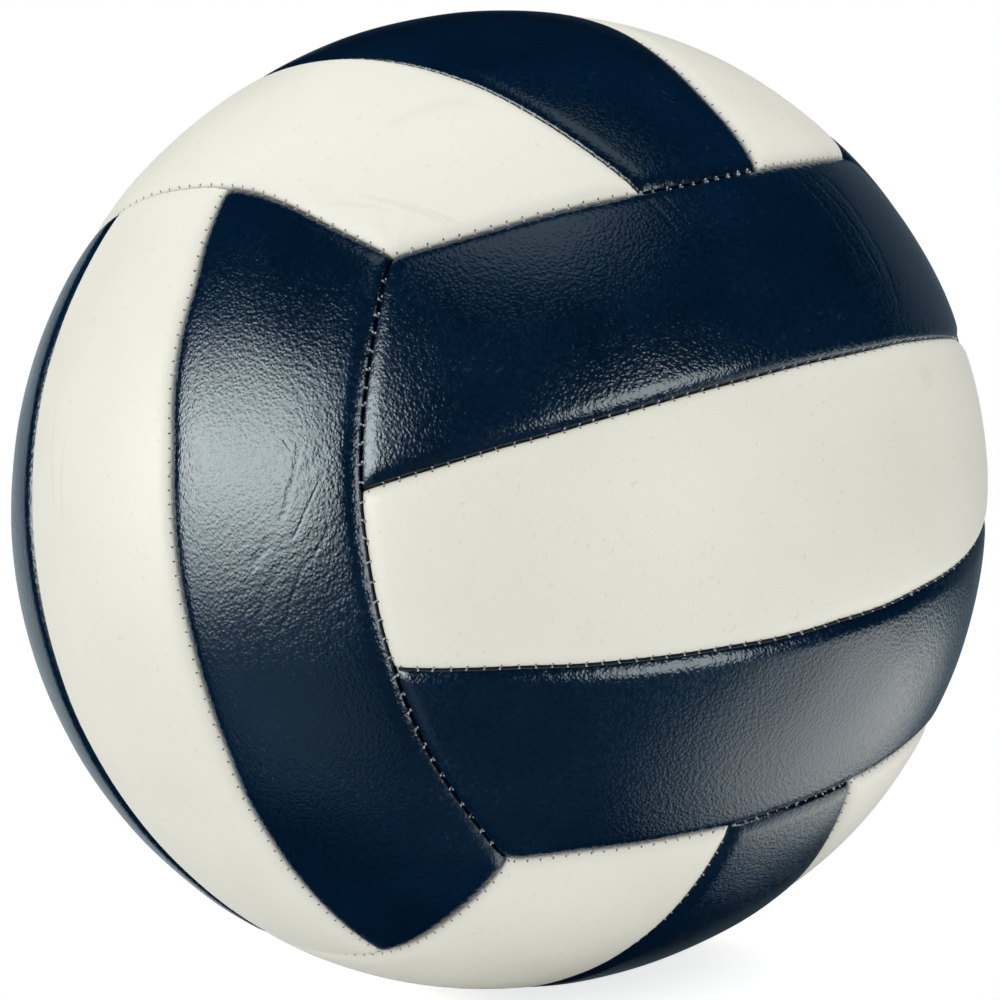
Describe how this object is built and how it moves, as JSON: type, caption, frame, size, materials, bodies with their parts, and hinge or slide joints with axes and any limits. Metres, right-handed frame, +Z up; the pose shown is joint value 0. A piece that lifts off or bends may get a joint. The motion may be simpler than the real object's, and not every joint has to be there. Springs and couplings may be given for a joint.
{
  "type": "volleyball",
  "caption": "Sewn volleyball of padded leather strips in groups of three, over a rubber bladder with a needle valve.",
  "frame": {"origin": "the ball's centre", "axes": "+Z up through the middle of the top group; +Y out through the valve, in the middle of the back group; the front group, whose strips run along X, faces -Y"},
  "size_m": [0.21, 0.2099, 0.21],
  "materials": {
    "navy_leather": "gloss",
    "white_leather": "satin",
    "foam": "matte",
    "lining_cloth": "matte",
    "thread": "satin",
    "bladder_rubber": "satin",
    "valve_rubber": "satin",
    "core_rubber": "matte",
    "patch_cloth": "matte"
  },
  "bodies": {
    "root": {"front_lower_cover": "navy_leather", "front_lower_foam": "foam", "front_lower_lining": "lining_cloth", "front_middle_cover": "white_leather", "front_middle_foam": "foam", "front_middle_lining": "lining_cloth", "front_upper_cover": "navy_leather", "front_upper_foam": "foam", "front_upper_lining": "lining_cloth", "back_upper_cover": "navy_leather", "back_upper_foam": "foam", "back_upper_lining": "lining_cloth", "back_middle_cover": "white_leather", "back_middle_foam": "foam", "back_middle_lining": "lining_cloth", "back_lower_cover": "navy_leather", "back_lower_foam": "foam", "back_lower_lining": "lining_cloth", "left_front_cover": "navy_leather", "left_front_foam": "foam", "left_front_lining": "lining_cloth", "left_middle_cover": "white_leather", "left_middle_foam": "foam", "left_middle_lining": "lining_cloth", "left_back_cover": "navy_leather", "left_back_foam": "foam", "left_back_lining": "lining_cloth", "right_back_cover": "navy_leather", "right_back_foam": "foam", "right_back_lining": "lining_cloth", "right_middle_cover": "white_leather", "right_middle_foam": "foam", "right_middle_lining": "lining_cloth", "right_front_cover": "navy_leather", "right_front_foam": "foam", "right_front_lining": "lining_cloth", "top_right_cover": "white_leather", "top_right_foam": "foam", "top_right_lining": "lining_cloth", "top_middle_cover": "navy_leather", "top_middle_foam": "foam", "top_middle_lining": "lining_cloth", "top_left_cover": "white_leather", "top_left_foam": "foam", "top_left_lining": "lining_cloth", "bottom_left_cover": "white_leather", "bottom_left_foam": "foam", "bottom_left_lining": "lining_cloth", "bottom_middle_cover": "navy_leather", "bottom_middle_foam": "foam", "bottom_middle_lining": "lining_cloth", "bottom_right_cover": "white_leather", "bottom_right_foam": "foam", "bottom_right_lining": "lining_cloth", "strip_seam_thread": "thread", "group_seam_thread": "thread", "bladder": "bladder_rubber", "valve_body": "valve_rubber", "valve_core": "core_rubber", "valve_patch": "patch_cloth"}
  },
  "joints": []
}
